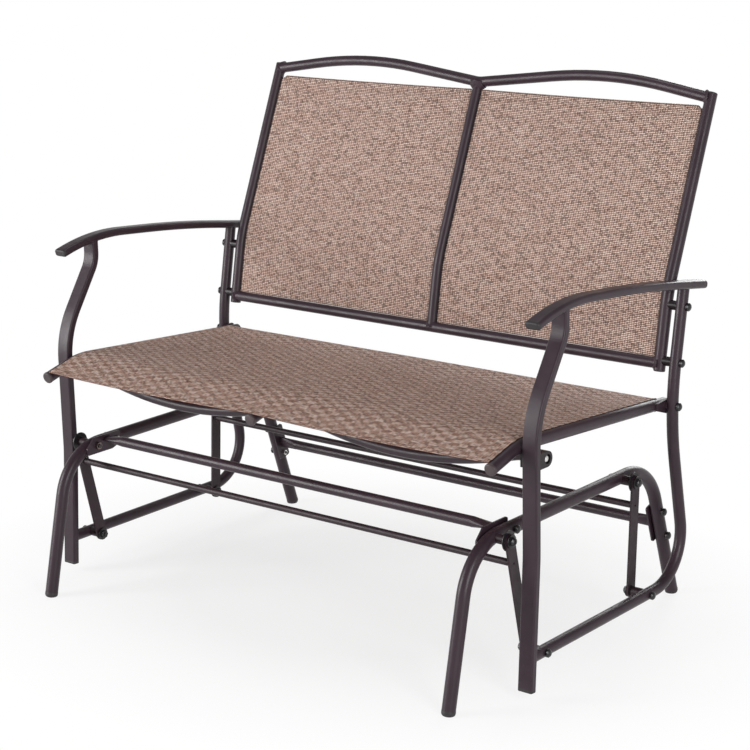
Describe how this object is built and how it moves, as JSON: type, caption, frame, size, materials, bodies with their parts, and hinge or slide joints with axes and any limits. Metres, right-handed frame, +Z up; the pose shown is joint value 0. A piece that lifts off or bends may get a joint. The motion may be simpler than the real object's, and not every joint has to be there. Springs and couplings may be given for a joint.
{
  "type": "glider bench",
  "caption": "Bent steel tube glider bench with woven sling seat and back panels, flat curved armrests and an arched base with swing links.",
  "frame": {"origin": "middle of the whole bench's bounding box in X and Y, on the floor under the foot caps", "axes": "+X along the bench, to the right as seen from the front; +Y from front to back; +Z up"},
  "size_m": [1.159, 0.8129, 0.9993],
  "materials": {
    "frame_paint": "satin dark brown powder coat",
    "black_hardware": "satin black coated bolt and nut caps",
    "zinc": "dull zinc plate",
    "black_plastic": "matt moulded",
    "sling": "woven coated yarn in tan, brown and cream"
  },
  "bodies": {
    "base": {"base_arch_left": "frame_paint", "base_arch_right": "frame_paint", "base_cross_tube_front": "frame_paint", "base_cross_tube_rear": "frame_paint", "cross_tube_bolts": "black_hardware", "cross_tube_nuts": "zinc", "foot_caps": "black_plastic", "upper_pivot_bolts": "black_hardware", "upper_pivot_nuts": "zinc", "upper_pivot_spacers": "frame_paint", "upper_pivot_washers": "black_plastic"},
    "front_swing": {"link_bushes_front": "black_plastic", "link_front_left": "frame_paint", "link_front_right": "frame_paint", "link_rod_front": "frame_paint"},
    "rear_swing": {"link_bushes_rear": "black_plastic", "link_rear_left": "frame_paint", "link_rear_right": "frame_paint", "link_rod_rear": "frame_paint"},
    "seat": {"armrest_caps": "black_plastic", "armrest_left": "frame_paint", "armrest_right": "frame_paint", "back_bolts": "black_hardware", "back_bottom_rail": "frame_paint", "back_centre_tube": "frame_paint", "back_inserts": "zinc", "back_rail_caps": "black_plastic", "back_side_rail_left": "frame_paint", "back_side_rail_right": "frame_paint", "back_sling_left": "sling", "back_sling_right": "sling", "back_spacers": "frame_paint", "back_top_rail": "frame_paint", "front_leg_caps": "black_plastic", "front_leg_left": "frame_paint", "front_leg_right": "frame_paint", "leg_lug_left": "frame_paint", "leg_lug_right": "frame_paint", "lower_pivot_bolts": "black_hardware", "lower_pivot_nuts": "black_hardware", "lower_pivot_spacers": "frame_paint", "lower_pivot_washers": "black_plastic", "lug_bolts": "zinc", "rear_rail_left": "frame_paint", "rear_rail_right": "frame_paint", "seat_bracket_bolts": "black_hardware", "seat_bracket_left": "frame_paint", "seat_bracket_nuts": "black_hardware", "seat_bracket_right": "frame_paint", "seat_bracket_spacers": "frame_paint", "seat_front_bar": "frame_paint", "seat_rear_bar": "frame_paint", "seat_sling": "sling", "seat_tube_caps": "black_plastic", "seat_tube_centre": "frame_paint", "seat_tube_left": "frame_paint", "seat_tube_right": "frame_paint"}
  },
  "joints": [
    {"name": "front_swing_hinge", "type": "hinge", "parent": "base", "child": "front_swing", "pos_m": [0, -0.26304, 0.28191], "axis": [1, 0, 0], "range_deg": [-10, 10]},
    {"name": "seat_hinge", "type": "hinge", "parent": "front_swing", "child": "seat", "pos_m": [0, -0.21684, 0.074], "axis": [1, 0, 0], "range_deg": [-12, 12]},
    {"name": "rear_swing_hinge", "type": "hinge", "parent": "base", "child": "rear_swing", "pos_m": [0, 0.13896, 0.28191], "axis": [1, 0, 0], "range_deg": [-10.2, 10.2]}
  ],
  "couplings": [
    {"joint": "seat_hinge", "follows": "front_swing_hinge", "ratio": -1.172},
    {"joint": "rear_swing_hinge", "follows": "front_swing_hinge", "ratio": 1}
  ]
}
